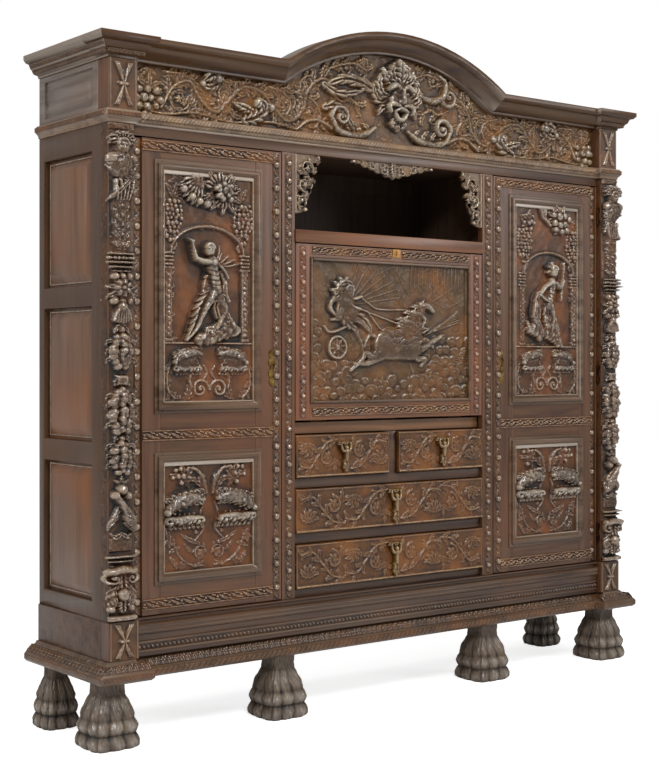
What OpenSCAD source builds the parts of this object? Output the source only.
// Secretary bookcase: a carved case on paw feet, with two doors, a fall-front desk,
// four drawers, an open niche and an arched cornice. Sizes are in millimetres.
// The origin is on the floor under the middle of the whole piece,
// X runs along the front, Y to the back and Z up.

/* [Case] */
// Width of the case over its side faces
case_w = 2192; // [2040:4:2360]
// Depth of the case, from its back to the door faces
case_d = 416; // [380:2:520]
// Height of the case between plinth and frieze
case_h = 1446; // [1440:2:1560]
// How far the corner posts stand forward of the doors
post_proud = 20; // [14:1:26]
// Width of a corner post
post_w = 84; // [76:1:96]
// Thickness of the side frames
side_t = 28; // [24:1:34]
// Thickness of shelves, partitions and case boards
board_t = 22; // [18:1:26]
// Thickness of the back
back_t = 22; // [18:1:26]

/* [Base] */
// Height of the paw feet
foot_h = 198; // [170:1:230]
// Width of a front paw
foot_w = 158; // [140:1:170]
// Width of a rear paw
rear_foot_w = 118; // [105:1:130]
// Distance of the inner front paws from the middle
inner_foot_x = 450; // [380:5:560]
// Height of the base moulding
base_h = 60; // [54:1:72]
// Reach of the base moulding beyond the posts
base_over = 52; // [46:1:52]
// How far the middle of the base moulding stands back
base_setback = 40; // [30:1:46]
// Height of the plinth
plinth_h = 113; // [104:1:130]
// Width of a plinth corner block
plinth_block_w = 100; // [90:1:110]

/* [Frieze and cornice] */
// Height of the moulding below the frieze
lip_h = 40; // [34:1:48]
// Reach of the moulding below the frieze
lip_over = 14; // [10:1:20]
// Height of the frieze
frieze_h = 148; // [130:1:170]
// How far the frieze field lies behind the door faces
frieze_recess = 21; // [15:1:30]
// Height of the cornice
cornice_h = 65; // [58:1:75]
// Reach of the cornice beyond the posts
cornice_over = 54; // [54:1:64]
// Width of the arch at the top of the cornice
arch_span = 950; // [820:5:1080]
// Rise of the arch above the cornice
arch_rise = 145; // [120:1:170]

/* [Doors] */
// Thickness of doors and stiles
door_t = 24; // [22:1:28]
// Running gap round doors
door_gap = 3; // [2:0.5:4]
// Width of the stile and rail round a door panel
door_stile = 96; // [84:1:104]
// Height of the door rail between the panels
door_mid_rail = 160; // [130:1:190]
// Height of a lower door panel
low_panel_h = 350; // [300:5:400]
// Height of a door's bottom rail
door_foot_rail = 108; // [90:1:125]
// Height of a door's top rail
door_head_rail = 82; // [70:1:100]
// Thickness of the panels
panel_t = 12; // [10:1:14]
// Width of the raised moulding round the panels
mould_w = 24; // [18:1:28]
// How far the panel moulding stands proud
mould_proud = 12; // [8:1:14]

/* [Desk] */
// Half width of the middle opening between its stiles
bay_half = 412; // [390:1:430]
// Width of a stile beside the middle opening
bay_stile = 51; // [46:1:58]
// Height of the writing deck's top above the case bottom
deck_rise = 560; // [559:1:575]
// Height of the niche opening over the fall
niche_h = 243; // [220:1:270]
// Width of the frame round the fall's panel
fall_stile = 57; // [50:1:66]
// Running gap round the fall and the drawers
bay_gap = 3; // [2:0.5:4]
// Height of the front band of the niche shelf
niche_band_h = 40; // [32:1:48]
// Radius of the brass quadrant stays
stay_r = 150; // [120:5:170]

/* [Drawers] */
// Height of a lower drawer front
drawer_h = 141; // [132:1:142]
// Height of a top drawer front
top_drawer_h = 137; // [126:1:138]
// Height of the rail between two drawers
drawer_rail_h = 36; // [30:1:36]
// Height of the rail under the lowest drawer
bottom_rail_h = 28; // [28:0.5:29]
// Width of the divider between the top drawers
divider_w = 38; // [30:1:50]
// Thickness of a drawer's sides
drawer_side_t = 12; // [9:1:14]
// Length of a drawer box
drawer_l = 330; // [280:5:340]

/* [Hidden] */
$fn = 48;
carve_fn = 10;

// Levels, from the floor up
z_base = foot_h;
z_plinth = z_base + base_h;
z_case = z_plinth + plinth_h;
z_lip = z_case + case_h;
z_frieze = z_lip + lip_h;
z_cornice = z_frieze + frieze_h;
z_top = z_cornice + cornice_h;

// Planes, from front to back
y_back = (case_d + post_proud + cornice_over) / 2;
y_face = y_back - case_d;
y_post = y_face - post_proud;
y_inner = y_face + door_t;
y_field = y_face + frieze_recess;
y_block_back = y_field + board_t;
y_back_in = y_back - back_t;
y_floor_front = y_inner + 2;
base_back_w = 60;
y_base_split = y_post + base_setback + base_back_w - 9;

// Widths, from the middle outwards
x_side = case_w / 2;
x_side_in = x_side - side_t;
x_post_in = x_side - post_w;
x_stile_out = bay_half + bay_stile;
x_part_in = bay_half + 15;
x_part_out = x_part_in + board_t;
hinge_gap = 4;
x_door_out = x_post_in - hinge_gap;
x_door_in = x_stile_out + door_gap;

// Arch of the cornice
arch_r = (arch_span * arch_span / 4 + arch_rise * arch_rise) / (2 * arch_rise);
arch_r_in = arch_r - cornice_h;
arch_z = z_top + arch_rise - arch_r;
arch_foot_out = arch_span / 2;
arch_foot_in = sqrt(arch_r_in * arch_r_in - pow(z_cornice - arch_z, 2));
seat_gap = 0.3;

// Doors
z_door_0 = z_case + door_gap;
top_rail_h = 28;
z_door_1 = z_lip - top_rail_h - door_gap;
z_low_0 = z_door_0 + door_foot_rail;
z_low_1 = z_low_0 + low_panel_h;
z_high_0 = z_low_1 + door_mid_rail;
z_high_1 = z_door_1 - door_head_rail;
panel_y = y_face + 6;
hinge_x = x_door_out - 1;
hinge_y = y_face - 6;
knuckle_r = 4.5;
pin_r = 2;
pin_play = 0.05;
knuckle_l = 66;
knuckle_play = 0.4;
leaf_t = 1.4;
hinge_levels = [z_door_0 + 110, (z_door_0 + z_door_1) / 2, z_door_1 - 110];

// Desk
deck_top = z_case + deck_rise;
fall_axis_y = y_inner + 4;
fall_axis_z = deck_top + 4;
z_fall_0 = fall_axis_z + 2;
z_niche = z_lip - top_rail_h - niche_h;
z_shelf_0 = z_niche - niche_band_h;
z_fall_1 = z_shelf_0 - bay_gap;
fall_half = bay_half - bay_gap;
deck_y = fall_axis_y + 2;
fall_knuckle_r = 4;
fall_pin_r = 1.6;
fall_hinge_xs = [-300, 0, 300];
stay_w = 10;
stay_t = 3;
stay_x = bay_half - 14;
desk_half = bay_half - 22;
desk_y = y_inner + 127;
cell_t = 10;
z_desk_top = z_shelf_0 - 6;
cell_row_h = 200;
cell_mid_h = 185;

// Drawers, from the bottom up
z_row_1 = z_case + bottom_rail_h;
z_row_2 = z_row_1 + drawer_h + drawer_rail_h;
z_row_3 = z_row_2 + drawer_h + drawer_rail_h;
drawer_face_y = y_face - 5;
drawer_front_t = 24;
rail_y = y_face + 13;
rail_back = rail_y + 48;
runner_h = 14;
runner_w = 20;
box_half = bay_half - 7;
guide_half = box_half + 1.5;
box_drop = 24;
pull_z = 0.55;

// Carvings spread with the case: heights as on a case of drawn_h, widths as on a frieze
// of drawn_half or a door panel of drawn_panel
drawn_h = 1446;
drawn_half = 1000;
drawn_panel = 173;

function level(h) = z_case + h * case_h / drawn_h;

// Plain helpers

// Box between two corners
module box(a, b) {
    translate(a) cube(b - a);
}

// The same piece on both sides of the middle
module both() {
    children();
    mirror([1, 0, 0]) children();
}

// Block with moulded front and sides: prof lists [reach, height] from the bottom up
module moulded_block(x0, x1, y0, y1, z0, prof, left = 1, right = 1) {
    last = len(prof) - 1;
    top = prof[last][1];
    margin = 400;
    intersection() {
        translate([x0 - margin, 0, z0]) rotate([90, 0, 90]) linear_extrude(x1 - x0 + 2 * margin)
            polygon(concat([for (p = prof) [y0 - p[0], p[1]]], [[y1, top], [y1, 0]]));
        translate([0, y1, z0]) rotate([90, 0, 0]) linear_extrude(y1 - y0 + margin)
            polygon(concat(
                [for (p = prof) [x0 - left * p[0], p[1]]],
                [for (i = [last:-1:0]) [x1 + right * prof[i][0], prof[i][1]]]
            ));
    }
}

// Straight moulding along one side, from y0 to y1
module side_run(x_in, x_out, y0, y1, z0, prof) {
    top = prof[len(prof) - 1][1];
    translate([0, y1, z0]) rotate([90, 0, 0]) linear_extrude(y1 - y0)
        polygon(concat([for (p = prof) [x_out + p[0], p[1]]], [[x_in, top], [x_in, 0]]));
}

// Stands flat shapes upright, facing the front, at plane y
module on_front(x, y, z, turn = 0) {
    translate([x, y, z]) rotate([90, 0, 0]) rotate([0, 0, turn]) children();
}

// Pointed leaf, lying along X, tip to tip
module leaf_shape(l, w) {
    r = (l * l + w * w) / (4 * w);
    intersection() {
        translate([0, r - w / 2]) circle(r);
        translate([0, w / 2 - r]) circle(r);
    }
}

// Carved leaf on the front
module leaf(x, y, z, l, w, turn, t = 8) {
    on_front(x, y, z, turn) linear_extrude(t) leaf_shape(l, w);
}

// Carved scroll stem, part of a ring, on the front
module scroll(x, y, z, r, w, from, sweep, t = 10) {
    on_front(x, y, z, from) rotate_extrude(angle = sweep) translate([r - w / 2, 0]) square([w, t]);
}

// Ball, such as a fruit or a bead
module ball(x, y, z, r) {
    translate([x, y, z]) sphere(r);
}

// Ball cut flat where it sits on plane y, with its centre in front of the plane by rise
module dome(x, y, z, r, rise) {
    on_front(x, y, z) rotate_extrude() intersection() {
        translate([0, rise]) circle(r);
        square([r, r + rise]);
    }
}

// Rounded limb between two points
module limb(a, b, ra, rb) {
    hull() {
        translate(a) sphere(ra, $fn = carve_fn);
        translate(b) sphere(rb, $fn = carve_fn);
    }
}

// Cluster of fruit: list of [x, z, r] on plane y
module cluster(x, y, z, rise, fruit) {
    for (f = fruit) dome(x + f[0], y, z + f[1], f[2], rise);
}

// Feet

// Lion paw on a square plan: a flared ankle over knuckles and toes on three sides
module paw(w) {
    corner = 0.45 * w;
    side = 0.365 * w;
    toes = [[-135, corner], [-90, side], [-45, corner], [0, side], [45, corner], [90, side], [135, corner]];
    difference() {
        union() {
            cylinder(r = 0.40 * w, h = 0.40 * foot_h);
            translate([0, 0, 0.36 * foot_h]) cylinder(r1 = 0.44 * w, r2 = 0.36 * w, h = 0.4 * foot_h);
            translate([0, 0, 0.75 * foot_h]) cylinder(r1 = 0.355 * w, r2 = 0.38 * w, h = 0.25 * foot_h);
            for (t = toes) rotate([0, 0, t[0]]) {
                ball(0, -t[1], 0.15 * foot_h, 0.16 * w);
                ball(0, -t[1] * 0.96, 0.40 * foot_h, 0.17 * w);
                ball(0, -t[1] * 0.78, 0.58 * foot_h, 0.15 * w);
            }
        }
        translate([-w, -w, -w]) cube([2 * w, 2 * w, w]);
    }
}

outer_foot_x = x_side - 30;
foot_y = y_post + 62;

module front_feet() {
    color("#6b5c4f") both() {
        translate([outer_foot_x, foot_y, 0]) paw(foot_w);
        translate([inner_foot_x, foot_y, 0]) paw(foot_w);
    }
}

module rear_feet() {
    color("#6b5c4f") both()
        translate([outer_foot_x + 8, y_back - rear_foot_w / 2 - 6, 0]) paw(rear_foot_w);
}

// Base and plinth

base_edge = base_over - 8;
base_profile = [
    [base_edge, 0], [base_over, 8], [base_over, 0.42 * base_h],
    [base_edge, 0.55 * base_h], [12, base_h - 5], [12, base_h]
];

module base_moulding() {
    color("#5c4c40") {
        union() {
            moulded_block(-x_side + 30, x_side - 30, y_post + base_setback, y_base_split, z_base,
                base_profile, 0, 0);
            both() moulded_block(x_side - plinth_block_w + 26, x_side, y_post, y_base_split, z_base,
                base_profile);
        }
        both() side_run(x_side - base_back_w, x_side, y_base_split + seat_gap, y_back, z_base,
            base_profile);
        box([-x_side + base_back_w + seat_gap, y_back_in, z_base],
            [x_side - base_back_w - seat_gap, y_back, z_plinth]);
    }
}

module base_board() {
    color("#4d3f35") box([-x_side + base_back_w, y_base_split, z_plinth - board_t],
        [x_side - base_back_w, y_back_in, z_plinth]);
}

plinth_over = 4;
plinth_face = y_face - 9;
plinth_front_t = 30;
plinth_in = x_side - plinth_block_w + plinth_over;

module plinth_boards() {
    y_in = plinth_face + plinth_front_t;
    bead_0 = plinth_h - 49;
    bead_1 = plinth_h - 20;
    front = [
        [plinth_face, 0], [plinth_face, bead_0], [plinth_face - 8, bead_0 + 3],
        [plinth_face - 8, bead_1], [plinth_face + 8, bead_1 + 4], [plinth_face + 8, plinth_h - 8],
        [plinth_face - 4, plinth_h - 4], [plinth_face - 4, plinth_h], [y_in, plinth_h], [y_in, 0]
    ];
    color("#574538") {
        translate([-plinth_in, 0, z_plinth]) rotate([90, 0, 90]) linear_extrude(2 * plinth_in)
            polygon(front);
        both() box([x_side + plinth_over - side_t, y_in + seat_gap, z_plinth],
            [x_side + plinth_over, y_back, z_case]);
        box([-x_side - plinth_over + side_t + seat_gap, y_back_in, z_plinth],
            [x_side + plinth_over - side_t - seat_gap, y_back, z_case]);
    }
}

module plinth_corner_blocks() {
    color("#5c4c40") both() union() {
        box([plinth_in, y_post - 9, z_plinth],
            [x_side + plinth_over, plinth_face + plinth_front_t, z_case]);
        leaf(x_side + plinth_over - plinth_block_w / 2, y_post - 8, z_plinth + plinth_h / 2,
            96, 26, 45, 7);
        leaf(x_side + plinth_over - plinth_block_w / 2, y_post - 8, z_plinth + plinth_h / 2,
            96, 26, -45, 7);
    }
}

// Case

module case_boards() {
    color("#4d3f35") {
        box([-x_side_in, y_floor_front, z_case], [x_side_in, y_back_in, z_case + board_t]);
        box([-x_side_in, y_inner, z_lip - board_t], [x_side_in, y_back_in, z_lip]);
    }
}

side_front_stile = 56;
side_rear_stile = 32;
side_levels = [
    [z_case + 50, level(452)],
    [level(517), level(917)],
    [level(979), z_lip - 74]
];
side_y0 = y_inner + side_front_stile;
side_y1 = y_back - side_rear_stile;

module side_frame() {
    difference() {
        box([x_side_in, y_inner, z_case], [x_side, y_back, z_lip]);
        for (level = side_levels)
            box([x_side_in - 1, side_y0, level[0]], [x_side + 1, side_y1, level[1]]);
    }
}

module side_frame_left() {
    color("#564338") mirror([1, 0, 0]) side_frame();
}

module side_frame_right() {
    color("#564338") side_frame();
}

side_panel_x = x_side - 20;
side_margin = 14;
side_slope = 38;

// Raised and fielded panels, with a sloped margin round a flat field
module side_panels() {
    color("#6b5042") both() for (level = side_levels) union() {
        box([x_side_in, side_y0, level[0]], [side_panel_x, side_y1, level[1]]);
        hull() {
            box([side_panel_x - 0.5, side_y0 + side_margin, level[0] + side_margin],
                [side_panel_x, side_y1 - side_margin, level[1] - side_margin]);
            box([side_panel_x - 0.5, side_y0 + side_slope, level[0] + side_slope],
                [x_side - 5, side_y1 - side_slope, level[1] - side_slope]);
        }
    }
}

bay_back = 60;

module back_frame() {
    color("#4d3f35") difference() {
        box([-x_side_in, y_back_in, z_case], [x_side_in, y_back, z_lip]);
        for (bay = back_bays)
            box([bay[0], y_back_in - 1, z_case + 80], [bay[1], y_back + 1, z_lip - 80]);
    }
}

back_bays = [
    [-x_side_in + bay_back, -x_part_out - bay_back / 2],
    [-x_part_out + bay_back / 2, x_part_out - bay_back / 2],
    [x_part_out + bay_back / 2, x_side_in - bay_back]
];

module back_panels() {
    color("#5a493d") for (bay = back_bays)
        box([bay[0], y_back_in + 6, z_case + 80], [bay[1], y_back_in + 14, z_lip - 80]);
}

module partitions() {
    color("#4d3f35") both() box([x_part_in, y_inner, z_case + board_t],
        [x_part_out, y_back_in, z_lip - board_t]);
}

// Corner pilasters: a post with a draped bust, a leafy shaft and hanging fruit
module pilaster() {
    xo = x_side - post_w / 2 + 4;
    y = y_post;
    seat = y_post + 1;
    union() {
        box([x_post_in, y_post, z_case], [x_side, y_inner, z_lip]);
        // Bust with head, shoulders and drapery
        dome(xo, seat, level(1376), 32, 15);
        dome(xo, seat, level(1316), 42, 3);
        dome(xo, seat, level(1268), 34, 7);
        // Tapered leafy shaft
        translate([xo, y - 2, level(1092)]) cylinder(r1 = 20, r2 = 30, h = 150);
        leaf(xo, y, level(1150), 150, 52, 90, 26);
        // Moulded cap
        box([x_post_in + 2, y - 30, level(1046)], [x_side + 6, y + 5, level(1062)]);
        box([x_post_in + 8, y - 22, level(1028)], [x_side, y + 5, level(1047)]);
        // Rosette
        dome(xo, seat, level(976), 24, 7);
        cluster(xo, seat, level(976), 1,
            [[26, 6, 14], [-26, 6, 14], [15, -20, 14], [-15, -20, 14], [0, 25, 14]]);
        // Tassel
        translate([xo, y - 4, level(872)]) cylinder(r1 = 9, r2 = 19, h = 46);
        dome(xo, seat, level(864), 15, 5);
        // Three hanging fruit clusters
        cluster(xo, seat, level(772), 13, [[0, 22, 24], [-24, -4, 22], [25, -2, 23], [2, -26, 22]]);
        box([x_post_in + 22, y - 22, level(688)], [x_side - 22, y + 5, level(714)]);
        cluster(xo, seat, level(612), 15, [[0, 42, 22], [-25, 18, 22], [27, 16, 23], [1, 2, 25],
            [-24, -24, 21], [26, -26, 22], [1, -46, 21]]);
        cluster(xo, seat, level(474), 13, [[0, 32, 22], [-24, 4, 21], [26, 2, 22], [2, -28, 22]]);
        // Wings of leaves round a pomegranate
        dome(xo, seat, level(330), 28, 13);
        leaf(xo - 22, y, level(332), 104, 34, 68, 22);
        leaf(xo + 26, y, level(332), 104, 34, 112, 22);
        // Ledge and scroll console with its ball
        box([x_post_in + 2, y - 26, level(186)], [x_side + 8, y + 5, level(204)]);
        box([x_post_in + 8, y - 18, level(165)], [x_side + 2, y + 5, level(187)]);
        translate([x_post_in + 12, y - 4, level(128)]) rotate([0, 90, 0]) cylinder(r = 27, h = post_w - 18);
        dome(xo, seat, level(92), 21, 25);
        translate([x_post_in + 14, y - 2, level(48)]) rotate([0, 90, 0]) cylinder(r = 19, h = post_w - 22);
        box([x_post_in + 2, y - 22, z_case], [x_side + 2, y + 5, level(22)]);
    }
}

module pilaster_left() {
    color("#5f4e43") mirror([1, 0, 0]) pilaster();
}

module pilaster_right() {
    color("#5f4e43") pilaster();
}

bead_r = 9;
bead_pitch = 57;
bead_sink = 3;

// Evenly spaced half beads up a stile
module beads(x, y, z0, z1, pitch, r) {
    count = floor((z1 - z0) / pitch);
    for (i = [0:count]) ball(x, y + bead_sink, z0 + i * pitch + (z1 - z0 - count * pitch) / 2, r);
}

module centre_stiles() {
    color("#574538") both() union() {
        box([bay_half, y_face, z_case], [x_stile_out, y_inner, z_lip - top_rail_h]);
        beads((bay_half + x_stile_out) / 2, y_face, z_case + 24, z_lip - top_rail_h - 24,
            bead_pitch, bead_r);
    }
}

module top_rail() {
    color("#574538") box([-x_post_in, y_face, z_lip - top_rail_h], [x_post_in, y_inner, z_lip]);
}

module drawer_rails() {
    gap = 2;
    color("#4d3a2e") {
        box([-bay_half, rail_y, z_case], [bay_half, y_floor_front, z_row_1 - gap]);
        box([-bay_half, rail_y, z_row_1 + drawer_h + gap], [bay_half, rail_back, z_row_2 - gap]);
        union() {
            box([-bay_half, rail_y, z_row_2 + drawer_h + gap], [bay_half, rail_back, z_row_3 - gap]);
            box([-divider_w / 2, rail_y, z_row_3 - gap - 1], [divider_w / 2, rail_back, z_rail_top]);
            box([-x_part_in, deck_y, z_rail_top], [x_part_in, rail_back, deck_top - board_t]);
        }
    }
}

z_rail_top = z_row_3 + top_drawer_h + 2;

// Runner with its side guide, on the inner face of the right partition
module runner(z, h) {
    under = max(z + 2 - seat_gap - runner_h, z_case + board_t);
    union() {
        box([guide_half - runner_w, rail_back, under], [x_part_in, y_back_in, z + 2 - seat_gap]);
        box([guide_half, rail_back, z + 1], [x_part_in, y_back_in, z + h - box_drop]);
    }
}

module drawer_runners() {
    centre = divider_w / 2;
    color("#6e5a48") {
        both() {
            runner(z_row_1, drawer_h);
            runner(z_row_2, drawer_h);
            runner(z_row_3, top_drawer_h);
        }
        union() {
            box([-centre - runner_w, rail_back, z_row_3 + 2 - seat_gap - runner_h],
                [centre + runner_w, y_back_in, z_row_3 + 2 - seat_gap]);
            box([-centre, rail_back, z_row_3 + 1],
                [centre, y_back_in, z_row_3 + top_drawer_h - box_drop]);
        }
    }
}

module niche_shelf() {
    color("#574538") union() {
        box([-x_part_in, y_inner, z_niche - board_t], [x_part_in, y_back_in, z_niche]);
        box([-bay_half, y_face - 6, z_shelf_0], [bay_half, y_inner + 1, z_niche]);
    }
}

module writing_deck() {
    color("#5a4334") box([-x_part_in, deck_y, deck_top - board_t], [x_part_in, y_back_in, deck_top]);
}

// Pigeonhole unit: a wide space, two middle ones and a row of four under its top
z_cell_mid = deck_top + cell_row_h;
z_cell_top = z_cell_mid + cell_mid_h;

module pigeonholes() {
    cells = [
        [1, deck_top + cell_t, z_cell_mid - cell_t / 2],
        [2, z_cell_mid + cell_t / 2, z_cell_top - cell_t / 2],
        [4, z_cell_top + cell_t / 2, z_desk_top - cell_t]
    ];
    inner = 2 * (desk_half - cell_t);
    color("#6e5a48") difference() {
        box([-desk_half, desk_y, deck_top], [desk_half, y_back_in, z_desk_top]);
        for (row = cells) {
            pitch = (inner + cell_t) / row[0];
            for (i = [0:row[0] - 1])
                box([-desk_half + cell_t + i * pitch, desk_y - 1, row[1]],
                    [-desk_half + i * pitch + pitch, y_back_in - 6, row[2]]);
        }
    }
}

shelf_t = 20;
shelf_levels = [for (share = [0.259, 0.5, 0.732]) z_case + share * case_h];
shelf_inset = 20;
batten = 18;
y_batten = y_inner + 2 * shelf_inset;

module shelves() {
    color("#5a493d") both() for (z = shelf_levels)
        box([x_part_out, y_inner + shelf_inset, z], [x_side_in, y_back_in, z + shelf_t]);
}

module shelf_battens() {
    color("#6e5a48") both() for (z = shelf_levels) {
        box([x_part_out, y_batten, z - batten], [x_part_out + batten, y_back_in, z]);
        box([x_side_in - batten, y_batten, z - batten], [x_side_in, y_back_in, z]);
    }
}

niche_carving_t = 16;

// Pierced bracket, drawn from its upper outer corner
module bracket_outline() {
    k = niche_h / 243;
    lobes = [[-48, -42, 42], [-80, -30, 22], [-44, -96, 38], [-30, -146, 27], [-38, -176, 12]];
    holes = [[-64, -60, 8], [-22, -72, 6], [-58, -116, 7], [-24, -122, 6]];
    difference() {
        union() {
            translate([-10, -190 * k]) square([10, 190 * k]);
            translate([-98, -12]) square([98, 12]);
            for (c = lobes) translate([c[0] * k, c[1] * k]) circle(c[2] * k);
        }
        for (c = holes) translate([c[0] * k, c[1] * k]) circle(c[2] * k);
    }
}

// Hanging crest, drawn from the middle of its upper edge
module crest_outline() {
    half = 182;
    drop = 60;
    lobes = [[0, -12, 40], [58, -6, 36], [104, 0, 30], [170, -8, 12]];
    translate([-half, -12]) square([2 * half, 12]);
    intersection() {
        translate([-half, -drop]) square([2 * half, drop]);
        for (s = [-1, 1], c = lobes) translate([s * c[0], c[1]]) circle(c[2]);
    }
}

// Brackets and a crest that hang in the niche opening
module niche_carvings() {
    z = z_lip - top_rail_h;
    y = y_face + niche_carving_t;
    color("#6b5c50") {
        both() union() {
            on_front(bay_half, y, z) linear_extrude(niche_carving_t) bracket_outline();
            dome(bay_half - 46, y_face + 1, z - 30, 15, -2);
            dome(bay_half - 44, y_face + 1, z - 94, 14, -2);
        }
        union() {
            on_front(0, y, z) linear_extrude(niche_carving_t) crest_outline();
            dome(0, y_face + 1, z - 26, 13, -1);
        }
    }
}

// Frieze and cornice

lip_profile = [[4, 0], [4, 8], [lip_over, 18], [lip_over, lip_h - 6], [8, lip_h]];

module frieze_moulding() {
    color("#5c4c40") {
        union() {
            moulded_block(-x_side + 40, x_side - 40, y_face, y_block_back, z_lip, lip_profile, 0, 0);
            both() moulded_block(x_side - plinth_block_w + 10, x_side, y_post, y_block_back, z_lip,
                lip_profile);
        }
        both() side_run(x_side_in, x_side, y_block_back + seat_gap, y_back, z_lip, lip_profile);
        box([-x_side_in + seat_gap, y_back_in, z_lip], [x_side_in - seat_gap, y_back, z_frieze]);
    }
}

frieze_in = x_side - plinth_block_w + 4;

module frieze_board() {
    color("#5c4a3c") translate([0, y_block_back, 0]) rotate([90, 0, 0]) linear_extrude(board_t)
        union() {
            translate([-frieze_in, z_frieze]) square([2 * frieze_in, frieze_h]);
            intersection() {
                translate([0, arch_z]) circle(arch_r_in - seat_gap, $fn = 180);
                translate([-arch_foot_in + 1, z_frieze]) square([2 * arch_foot_in - 2, 400]);
            }
        }
}

module frieze_corner_blocks() {
    mid = (frieze_in + x_side) / 2;
    color("#5c4c40") both() union() {
        box([frieze_in, y_post, z_frieze], [x_side, y_block_back, z_cornice]);
        for (a = [58, -58]) leaf(mid, y_post + 1, z_frieze + frieze_h / 2, 140, 20, a, 9);
        ball(mid, y_post, z_frieze + frieze_h / 2, 12);
    }
}

module frieze_ends() {
    rim = 34;
    color("#5c4a3f") both() union() {
        difference() {
            box([x_side_in, y_block_back, z_frieze], [x_side, y_back, z_cornice]);
            box([x_side - 12, y_block_back + rim, z_frieze + rim / 2],
                [x_side + 1, y_back - rim, z_cornice - rim / 2]);
        }
        hull() {
            box([x_side - 12.5, y_block_back + rim + 12, z_frieze + rim / 2 + 12],
                [x_side - 12, y_back - rim - 12, z_cornice - rim / 2 - 12]);
            box([x_side - 12.5, y_block_back + rim + 26, z_frieze + rim / 2 + 26],
                [x_side - 3, y_back - rim - 26, z_cornice - rim / 2 - 26]);
        }
    }
}

function across(x) = x * frieze_in / drawn_half;

// Scrolling leaves and fruit on both sides of a leafy mask
module frieze_carving() {
    grapes = [[0, 0, 17], [22, 12, 15], [-20, 12, 15], [10, -22, 15], [-14, -22, 14], [2, -42, 12]];
    y = y_field;
    mid = z_frieze + frieze_h / 2;
    turns = [
        [905, -6, 46], [800, 10, 44], [640, -8, 50], [520, 12, 42], [395, -4, 48],
        [290, 46, 42], [180, 12, 50]
    ];
    color("#6f6052") {
        both() for (i = [0:len(turns) - 1])
            scroll(across(turns[i][0]), y, mid + turns[i][1], turns[i][2], 15, i % 2 == 0 ? 20 : 200, 300, 15);
        both() union() cluster(across(945), y, mid + 14, 4, grapes);
        both() union() {
            leaf(across(575), y, mid - 4, 120, 40, 40, 20);
            dome(across(575), y, mid - 2, 20, 10);
        }
        both() {
            leaf(across(850), y, mid + 52, 86, 30, 20, 14);
            dome(across(716), y, mid + 28, 25, 6);
            leaf(across(716), y, mid - 30, 96, 34, -35, 14);
            leaf(across(455), y, mid + 40, 104, 32, -30, 16);
            leaf(across(340), y, mid - 28, 110, 36, 25, 16);
            leaf(across(235), y, mid + 118, 130, 42, -24, 22);
            leaf(across(105), y, mid - 34, 90, 32, 60, 18);
        }
        // Mask: face, nose, cheeks, chin, cap of leaves and beard
        union() {
            dome(8, y, mid + 108, 50, 24);
            ball(8, y - 52, mid + 92, 20);
            ball(-16, y - 54, mid + 112, 16);
            ball(32, y - 54, mid + 112, 16);
            dome(8, y, mid + 62, 28, 26);
            leaf(8, y, mid + 160, 150, 50, 12, 44);
            leaf(8, y, mid + 30, 110, 44, 90, 34);
            leaf(-62, y, mid + 92, 110, 34, 70, 30);
            leaf(78, y, mid + 92, 110, 34, 110, 30);
        }
    }
}

module roof_boards() {
    color("#4d3f35") {
        box([-x_side + base_back_w, y_block_back, z_cornice],
            [x_side - base_back_w, y_back_in, z_cornice + board_t]);
        box([-x_side_in, y_back_in, z_frieze], [x_side_in, y_back, z_cornice]);
    }
}

cornice_mid = cornice_over - 8;
cornice_profile = [
    [4, 0], [4, 7], [16, 12], [26, 0.36 * cornice_h], [30, 0.4 * cornice_h], [36, 0.62 * cornice_h],
    [cornice_mid, 0.66 * cornice_h], [cornice_over, 0.8 * cornice_h], [cornice_over, cornice_h]
];
cornice_block_in = x_side - 143 + cornice_over;

// Outline that parts the arch from the straight runs, along the mitre at its feet
module arch_region() {
    reach = 4;
    lean = arch_foot_out - arch_foot_in;
    polygon([
        [-arch_foot_in, z_cornice], [arch_foot_in, z_cornice],
        [arch_foot_in + reach * lean, z_cornice + reach * cornice_h],
        [-arch_foot_in - reach * lean, z_cornice + reach * cornice_h]
    ]);
}

module arch_ring() {
    intersection() {
        translate([0, y_block_back, arch_z]) rotate([90, 0, 0]) rotate_extrude($fn = 180)
            polygon(concat(
                [for (p = cornice_profile) [arch_r_in + p[1], p[0] + y_block_back - y_face]],
                [[arch_r, 0], [arch_r_in, 0]]
            ));
        translate([0, y_back, 0]) rotate([90, 0, 0]) linear_extrude(2 * case_d) arch_region();
    }
}

module cornice() {
    color("#5a4a3e") {
        union() {
            difference() {
                moulded_block(-x_side + 60, x_side - 60, y_face, y_block_back, z_cornice,
                    cornice_profile, 0, 0);
                translate([0, y_back, 0]) rotate([90, 0, 0]) linear_extrude(2 * case_d) arch_region();
            }
            both() moulded_block(cornice_block_in, x_side, y_post, y_block_back, z_cornice,
                cornice_profile);
            arch_ring();
        }
        both() side_run(x_side - base_back_w, x_side, y_block_back + seat_gap, y_back, z_cornice,
            cornice_profile);
        box([-x_side + base_back_w + seat_gap, y_back_in, z_cornice],
            [x_side - base_back_w - seat_gap, y_back, z_top]);
    }
}

// Hinges

// Fixed half of a door hinge: two end knuckles, their plates and the pin
module hinge_fixed() {
    third = knuckle_l / 3;
    for (end = [0, 1]) translate([0, 0, end * 2 * third]) {
        translate([hinge_x, hinge_y, 0]) cylinder(r = knuckle_r, h = third - knuckle_play * (1 - end));
        box([x_post_in - leaf_t, hinge_y - 6, 0],
            [x_post_in, y_inner - 2, third - knuckle_play * (1 - end)]);
    }
    translate([hinge_x, hinge_y, 0.5]) cylinder(r = pin_r, h = knuckle_l - 1);
}

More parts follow.
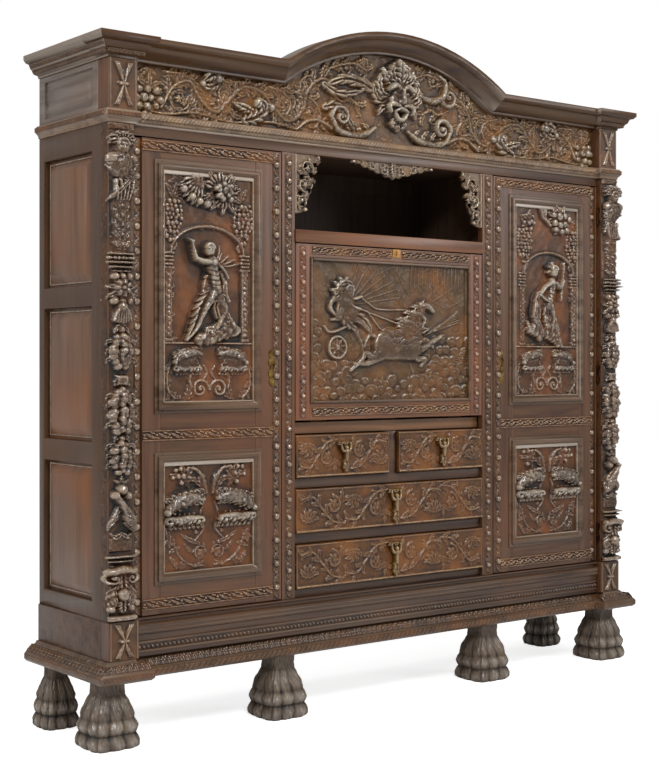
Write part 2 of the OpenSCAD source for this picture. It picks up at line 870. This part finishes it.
// Moving half: the middle knuckle with its plate on the door's edge
module hinge_moving() {
    third = knuckle_l / 3;
    difference() {
        union() {
            translate([hinge_x, hinge_y, third]) cylinder(r = knuckle_r, h = third - knuckle_play);
            box([x_door_out, hinge_y + 1, third], [x_door_out + leaf_t, y_inner - 2, 2 * third - knuckle_play]);
        }
        translate([hinge_x, hinge_y, 0]) cylinder(r = pin_r + pin_play, h = knuckle_l);
    }
}

// Fixed half of a fall hinge, screwed on the deck
module fall_hinge_fixed(x) {
    third = knuckle_l / 3;
    start = x - knuckle_l / 2;
    for (end = [0, 1]) {
        from = start + end * 2 * third + end * knuckle_play;
        to = start + end * 2 * third + third;
        translate([from, fall_axis_y, fall_axis_z]) rotate([0, 90, 0])
            cylinder(r = fall_knuckle_r, h = to - from);
        box([from, fall_axis_y, deck_top], [to, fall_axis_y + 42, deck_top + 1.6]);
    }
    translate([start + 0.5, fall_axis_y, fall_axis_z]) rotate([0, 90, 0])
        cylinder(r = fall_pin_r, h = knuckle_l - 1);
}

// Moving half of a fall hinge, screwed on the fall's inner face
module fall_hinge_moving(x) {
    third = knuckle_l / 3;
    from = x - third / 2 + knuckle_play;
    to = x + third / 2;
    difference() {
        union() {
            translate([from, fall_axis_y, fall_axis_z]) rotate([0, 90, 0])
                cylinder(r = fall_knuckle_r, h = to - from);
            box([from, y_inner, fall_axis_z], [to, y_inner + 1.6, fall_axis_z + 42]);
        }
        translate([from - 1, fall_axis_y, fall_axis_z]) rotate([0, 90, 0])
            cylinder(r = fall_pin_r + pin_play, h = to - from + 2);
    }
}

module case_hinges() {
    color("#9a7b45") {
        both() for (z = hinge_levels) translate([0, 0, z - knuckle_l / 2]) union() hinge_fixed();
        for (x = fall_hinge_xs) union() fall_hinge_fixed(x);
    }
}

// Doors, drawn on the right and mirrored for the left

panel_xs = [x_door_in + door_stile + 2, x_door_out - door_stile - 2];
door_panels = [[z_low_0, z_low_1], [z_high_0, z_high_1]];
door_bead_pitch = 73;
lock_z = z_door_0 + 732;
lock_l = 116;

module door_frame() {
    union() {
        difference() {
            box([x_door_in, y_face, z_door_0], [x_door_out, y_inner, z_door_1]);
            for (p = door_panels)
                box([panel_xs[0], y_face - 1, p[0]], [panel_xs[1], y_inner + 1, p[1]]);
        }
        beads(x_door_out - 20, y_face, z_door_0 + 24, z_door_1 - 24, door_bead_pitch, bead_r);
        beads(x_door_in + 34, y_face, z_door_0 + 24, lock_z - lock_l / 2 - 20, door_bead_pitch, bead_r);
        beads(x_door_in + 34, y_face, lock_z + lock_l / 2 + 20, z_door_1 - 24, door_bead_pitch, bead_r);
        for (band = [[z_door_0 + 14, 34], [z_low_1 + 40, 50], [z_door_1 - 42, 34]])
            box([x_door_in + 56, y_face - 3, band[0]], [x_door_out - 40, y_face + 1, band[0] + band[1]]);
    }
}

// Raised moulding round an opening, sloped inwards
module panel_moulding(x0, x1, z0, z1, over, w, proud) {
    difference() {
        box([x0 - over, y_face - proud, z0 - over], [x1 + over, y_face, z1 + over]);
        hull() {
            box([x0 - over + w, y_face + 0.5, z0 - over + w], [x1 + over - w, y_face + 1, z1 + over - w]);
            box([x0 - over + w / 2, y_face - proud - 1, z0 - over + w / 2],
                [x1 + over - w / 2, y_face - proud - 0.5, z1 + over - w / 2]);
        }
    }
}

module door_mouldings() {
    for (p = door_panels)
        panel_moulding(panel_xs[0], panel_xs[1], p[0], p[1], mould_w / 2, mould_w, mould_proud);
}

function wide(x) = x * (panel_xs[1] - panel_xs[0]) / 2 / drawn_panel;

// Joints of a figure from its ground up, as [x, z]: hip, neck, head, two knees with their
// feet, an elbow with its hand, and the other hand
striding = [[0, 146], [-4, 234], [-10, 270], [42, 78], [80, 10], [-30, 96], [-60, 42],
    [56, 246], [70, 298], [-60, 216]];
leaning = [[-15, 110], [8, 222], [26, 268], [-24, 66], [-66, 34], [20, 62], [46, 12],
    [62, 222], [34, 250], [-68, 190]];

module figure(x, y, z, joints) {
    at = [for (j = joints) [x + j[0], y - 18, z + j[1]]];
    translate(at[2] - [0, 2, 0]) sphere(20);
    limb(at[0], at[1], 22, 27);
    for (leg = [3, 5]) {
        limb(at[0], at[leg], 20, 14);
        limb(at[leg], at[leg + 1], 14, 9);
    }
    limb(at[1], at[7], 13, 10);
    limb(at[7], at[8], 10, 8);
    limb(at[1], at[9], 13, 9);
    // Rocks beside its feet
    limb([x - 44, y - 6, z + 12], [x - 92, y - 8, z + 34], 22, 16);
}

// Upper panel: arched niche with a figure, grapes and two heads below
module figure_carving(joints) {
    x = (panel_xs[0] + panel_xs[1]) / 2;
    y = panel_y;
    spring = z_high_1 - 264;
    ground = z_high_0 + 193;
    arch_half = wide(131);
    rise = 88;
    r = (arch_half * arch_half + rise * rise) / (2 * rise);
    half_sweep = asin(arch_half / r);
    scroll(x, y + 1, spring + rise - r, r, 14, 90 - half_sweep, 2 * half_sweep, 12);
    for (s = [-1, 1]) {
        box([x + s * arch_half - 9, y - 11, ground], [x + s * arch_half + 9, y + 1, spring + 2]);
        cluster(x + s * wide(128), y, z_high_1 - 150, 4,
            [[0, 0, 15], [s * 13, 20, 14], [-s * 13, 22, 14], [2, -24, 13], [0, 42, 14]]);
        leaf(x + s * wide(52), y + 1, z_high_1 - 60, 104, 44, s * 24, 22);
        ball(x + s * wide(84), y - 10, z_high_0 + 143, 32);
        limb([x + s * wide(70), y - 14, z_high_0 + 138], [x + s * wide(34), y - 16, z_high_0 + 124], 20, 10);
        scroll(x + s * wide(44), y + 1, z_high_0 + 52, 32, 10, s > 0 ? -60 : 60, 180, 12);
    }
    leaf(x, y + 1, z_high_0 + 62, 100, 26, 90, 12);
    ball(x, y - 8, z_high_1 - 60, 24);
    box([x - arch_half, y - 9, ground - 12], [x + arch_half, y + 1, ground]);
    figure(x, y, ground, joints);
}

// Lower panel: two dolphins with open jaws, between leaves
module dolphin_carving() {
    x = (panel_xs[0] + panel_xs[1]) / 2;
    y = panel_y;
    z = (z_low_0 + z_low_1) / 2;
    for (s = [-1, 1]) {
        limb([x + s * wide(30), y - 10, z + 34], [x + s * wide(92), y - 8, z + 36], 24, 22);
        limb([x + s * wide(92), y - 8, z + 34], [x + s * wide(138), y - 6, z + 16], 18, 9);
        limb([x + s * wide(26), y - 6, z + 2], [x + s * wide(140), y - 6, z - 8], 10, 8);
        leaf(x + s * wide(30), y + 1, z + 88, 80, 30, s * 70, 12);
        leaf(x + s * wide(94), y + 1, z + 108, 90, 40, s * 20, 10);
        leaf(x + s * wide(96), y + 1, z - 62, 90, 26, s * 60, 10);
        scroll(x + s * wide(46), y + 1, z - 104, 34, 10, s > 0 ? 0 : 180, 200, 10);
    }
    leaf(x, y + 1, z - 70, 84, 30, 90, 10);
}

module door_panel_set(joints) {
    $fn = 14;
    difference() {
        union() {
            for (p = door_panels)
                box([panel_xs[0], panel_y, p[0]], [panel_xs[1], panel_y + panel_t, p[1]]);
            figure_carving(joints);
            dolphin_carving();
        }
        box([x_door_in, panel_y + panel_t, z_case], [x_door_out, y_inner + case_d, z_lip]);
    }
}

module escutcheon() {
    plate = 2.5;
    x = x_door_in + 34;
    color("#8a6c3e") difference() {
        union() {
            box([x - 9, y_face - plate, lock_z - lock_l / 2 + 8], [x + 9, y_face, lock_z + lock_l / 2 - 8]);
            for (s = [-1, 1]) {
                on_front(x, y_face, lock_z + s * (lock_l / 2 - 14)) linear_extrude(plate) circle(14);
                on_front(x, y_face, lock_z + s * 18) linear_extrude(plate) circle(17);
            }
        }
        on_front(x, y_face + 1, lock_z + 4) linear_extrude(plate + 2) circle(4);
        box([x - 2, y_face - plate - 1, lock_z - 12], [x + 2, y_face + 1, lock_z + 4]);
    }
}

module door_left_frame() {
    color("#5d4536") mirror([1, 0, 0]) door_frame();
}

module door_left_panels() {
    color("#6b5040") mirror([1, 0, 0]) door_panel_set(striding);
}

module door_left_mouldings() {
    color("#6b584a") mirror([1, 0, 0]) door_mouldings();
}

module door_left_escutcheon() {
    mirror([1, 0, 0]) escutcheon();
}

module door_left_hinges() {
    color("#9a7b45") mirror([1, 0, 0])
        for (z = hinge_levels) translate([0, 0, z - knuckle_l / 2]) hinge_moving();
}

module door_right_frame() {
    color("#5d4536") door_frame();
}

module door_right_panels() {
    color("#6b5040") door_panel_set(leaning);
}

module door_right_mouldings() {
    color("#6b584a") door_mouldings();
}

module door_right_escutcheon() {
    escutcheon();
}

module door_right_hinges() {
    color("#9a7b45") for (z = hinge_levels) translate([0, 0, z - knuckle_l / 2]) hinge_moving();
}

// Fall front

fall_in = fall_half - fall_stile;
fall_panel_y = y_face + 10;
z_fall_panel = [z_fall_0 + 53, z_fall_1 - 43];
fall_proud = 9;
fall_mould_w = 14;
lock_h = 27;

module fall_frame() {
    color("#604635") union() {
        difference() {
            box([-fall_half, y_face, z_fall_0], [fall_half, y_inner, z_fall_1]);
            box([-fall_in, y_face - 1, z_fall_panel[0]], [fall_in, y_inner + 1, z_fall_panel[1]]);
        }
        difference() {
            box([-fall_in - fall_mould_w, y_face - fall_proud, z_fall_panel[0] - fall_mould_w],
                [fall_in + fall_mould_w, y_face + 1, z_fall_panel[1] + fall_mould_w]);
            box([-fall_in, y_face - fall_proud - 1, z_fall_panel[0]],
                [fall_in, y_face + 2, z_fall_panel[1]]);
        }
        both() beads(fall_half - 16, y_face + 1, z_fall_0 + 30, z_fall_1 - 30, 44, 7);
    }
}

// Galloping horse, with its body, neck, head and one leg at each end
module horse(x, y, z) {
    limb([x, y + 6, z - 16], [x + 100, y + 4, z + 6], 27, 24);
    limb([x + 100, y, z + 8], [x + 140, y - 6, z + 62], 20, 12);
    limb([x + 140, y - 8, z + 64], [x + 172, y - 6, z + 42], 12, 8);
    limb([x + 102, y - 6, z - 10], [x + 158, y - 4, z - 38], 11, 6);
    limb([x - 4, y - 6, z - 26], [x - 54, y - 4, z - 66], 13, 6);
}

// Carved scene: a chariot with its driver behind galloping horses, over waves
module fall_panel() {
    $fn = 14;
    y = fall_panel_y;
    mid = (z_fall_panel[0] + z_fall_panel[1]) / 2;
    color("#6f5543") difference() {
        union() {
            box([-fall_in, y, z_fall_panel[0]], [fall_in, y + panel_t, z_fall_panel[1]]);
            scroll(-205, y + 1, mid - 60, 38, 9, 0, 360, 12);
            for (a = [0, 45, 90, 135]) on_front(-205, y + 1, mid - 60, a) translate([-36, -3, 0])
                cube([72, 6, 10]);
            leaf(-200, y + 1, mid + 8, 130, 50, 18, 14);
            ball(-188, y - 2, mid + 128, 19);
            limb([-186, y - 1, mid + 100], [-196, y - 4, mid + 46], 20, 16);
            limb([-186, y - 8, mid + 96], [-110, y - 6, mid + 70], 10, 7);
            for (step = [0, 1]) horse(10 + 64 * step, y, mid + 26 * step);
            for (i = [0:8])
                scroll(-310 + i * 77, y + 1, z_fall_panel[0] + 46 + 12 * (i % 2), 26, 9, 30, 260, 9);
        }
        box([-bay_half, y + panel_t, z_fall_0], [bay_half, y + case_d, z_fall_1]);
    }
}

module fall_lock() {
    x = 12;
    z = z_fall_1 - lock_h / 2 - 1;
    color("#a3814a") difference() {
        box([x - 17, y_face - 2, z - lock_h / 2], [x + 17, y_face, z + lock_h / 2]);
        on_front(x, y_face + 1, z + 4) linear_extrude(6) circle(4);
        box([x - 2, y_face - 3, z - 8], [x + 2, y_face + 1, z + 4]);
    }
}

// Brass quadrant stays and the moving hinge halves, all screwed on the fall
module fall_stays() {
    reach = 83;
    seat = 90 + asin((fall_axis_y - y_inner) / stay_r);
    color("#9a7b45") {
        both() union() {
            translate([stay_x, fall_axis_y, fall_axis_z]) rotate([90, 0, 90])
                rotate([0, 0, seat - reach]) rotate_extrude(angle = reach, $fn = 96)
                    translate([stay_r - stay_w, 0]) square([stay_w, stay_t]);
            box([stay_x - 12, y_inner, fall_axis_z + stay_r - 30],
                [stay_x + stay_t, y_inner + 5, fall_axis_z + stay_r + 14]);
        }
        for (x = fall_hinge_xs) fall_hinge_moving(x);
    }
}

// Drawers

// Front with a raised rim round its carved field
module drawer_front(x0, x1, z, h) {
    rim = 14;
    y = drawer_face_y;
    mid = z + h / 2;
    count = 2 * max(1, round((x1 - x0) / 260));
    pitch = (x1 - x0 - 60) / count;
    color("#6a4c38") union() {
        box([x0, y, z], [x1, y + drawer_front_t, z + 8]);
        box([x0, y + 4, z + 7], [x1, y + drawer_front_t, z + h]);
        difference() {
            box([x0, y, z + h - rim], [x1, y + drawer_front_t, z + h]);
            box([x0 - 1, y - 1, z + h - rim - 1], [x1 + 1, y + 2, z + h - 5]);
        }
        for (i = [0:count - 1])
            scroll(x0 + 30 + (i + 0.5) * pitch, y + 5, mid, 34, 10, i % 2 == 0 ? 20 : 200, 290, 7);
    }
}

// Open box that slides on the runners
module drawer_box(x0, x1, z, h) {
    t = drawer_side_t;
    y0 = drawer_face_y + drawer_front_t;
    color("#8a745c") difference() {
        box([x0, y0, z + 2], [x1, y0 + drawer_l, z + 2 + h - box_drop]);
        box([x0 + t, y0 + t / 2, z + 10], [x1 - t, y0 + drawer_l - t, z + h]);
    }
}

// Pull with a stem between two leafy arms
module drawer_pull(x, z, h) {
    y = drawer_face_y;
    w = 0.3 * h;
    color("#8a6c3e") union() {
        translate([x, y + 4, z + 0.42 * h]) rotate([90, 0, 0]) cylinder(r = 8, h = 20);
        limb([x, y - 12, z + 6], [x, y - 16, z + 0.55 * h], 6, 9);
        for (s = [-1, 1]) {
            limb([x, y - 16, z + 0.52 * h], [x + s * w, y - 12, z + h - 12], 8, 6);
            limb([x + s * w, y - 12, z + h - 12], [x + s * (w + 9), y - 10, z + h - 24], 6, 4);
        }
    }
}

half_in = divider_w / 2 + 2;
half_box_in = divider_w / 2 + 1.5;
half_pull_x = (half_in + fall_half) / 2;
pull_h = 104;

module drawer_top_left_front() {
    drawer_front(-fall_half, -half_in, z_row_3, top_drawer_h);
}

module drawer_top_left_box() {
    drawer_box(-box_half, -half_box_in, z_row_3, top_drawer_h);
}

module drawer_top_left_pull() {
    drawer_pull(-half_pull_x, z_row_3 + 12, pull_h);
}

module drawer_top_right_front() {
    drawer_front(half_in, fall_half, z_row_3, top_drawer_h);
}

module drawer_top_right_box() {
    drawer_box(half_box_in, box_half, z_row_3, top_drawer_h);
}

module drawer_top_right_pull() {
    drawer_pull(half_pull_x, z_row_3 + 12, pull_h);
}

module drawer_middle_front() {
    drawer_front(-fall_half, fall_half, z_row_2, drawer_h);
}

module drawer_middle_box() {
    drawer_box(-box_half, box_half, z_row_2, drawer_h);
}

module drawer_middle_pull() {
    drawer_pull(0, z_row_2 + 6, pull_h + 18);
}

module drawer_bottom_front() {
    drawer_front(-fall_half, fall_half, z_row_1, drawer_h);
}

module drawer_bottom_box() {
    drawer_box(-box_half, box_half, z_row_1, drawer_h);
}

module drawer_bottom_pull() {
    drawer_pull(0, z_row_1 + 6, pull_h + 18);
}

front_feet();
rear_feet();
base_moulding();
base_board();
plinth_boards();
plinth_corner_blocks();
case_boards();
side_frame_left();
side_frame_right();
side_panels();
back_frame();
back_panels();
partitions();
pilaster_left();
pilaster_right();
centre_stiles();
top_rail();
drawer_rails();
drawer_runners();
niche_shelf();
writing_deck();
pigeonholes();
shelves();
shelf_battens();
niche_carvings();
frieze_moulding();
frieze_board();
frieze_corner_blocks();
frieze_ends();
frieze_carving();
roof_boards();
cornice();
case_hinges();
door_left_frame();
door_left_panels();
door_left_mouldings();
door_left_escutcheon();
door_left_hinges();
door_right_frame();
door_right_panels();
door_right_mouldings();
door_right_escutcheon();
door_right_hinges();
fall_frame();
fall_panel();
fall_lock();
fall_stays();
drawer_top_left_front();
drawer_top_left_box();
drawer_top_left_pull();
drawer_top_right_front();
drawer_top_right_box();
drawer_top_right_pull();
drawer_middle_front();
drawer_middle_box();
drawer_middle_pull();
drawer_bottom_front();
drawer_bottom_box();
drawer_bottom_pull();
